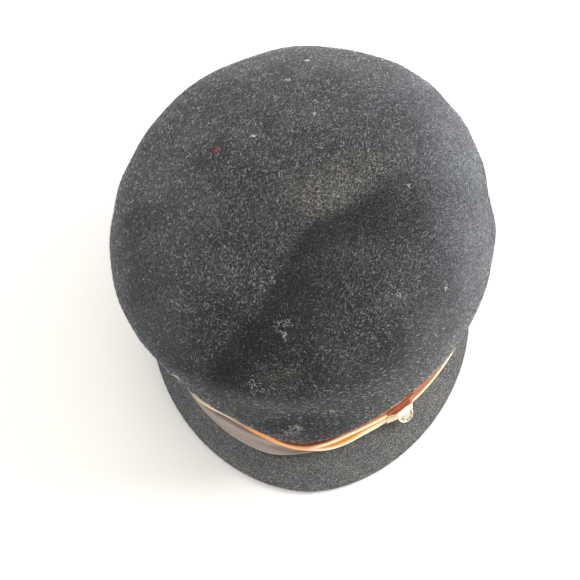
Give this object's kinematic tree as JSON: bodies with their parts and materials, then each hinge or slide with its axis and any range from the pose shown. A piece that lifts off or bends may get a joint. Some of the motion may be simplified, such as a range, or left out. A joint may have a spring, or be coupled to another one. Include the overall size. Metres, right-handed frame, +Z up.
{
  "type": "peaked velour hat",
  "caption": "Soft peaked cap of black velour felt with a full rounded crown, a short front peak, a two-layer satin ribbon band and a small metal button.",
  "frame": {"origin": "middle of the footprint, on the surface that the crown's lower edge rests on", "axes": "+Z up through the crown, the peak towards -Y, +X to the right as the hat is seen from in front"},
  "size_m": [0.1998, 0.2302, 0.1228],
  "materials": {
    "velour": "long-napped black fur felt, with a soft sheen towards its rims",
    "taupe_satin": "taupe satin ribbon with a paler lower edge",
    "bright_satin": "pleated satin ribbon in orange, gold, cream and dark red",
    "button_metal": "pale gilt metal, polished, with a rolled rim"
  },
  "bodies": {
    "root": {"crown": "velour", "peak": "velour", "band_under": "taupe_satin", "band_over": "bright_satin", "button": "button_metal"}
  },
  "joints": []
}
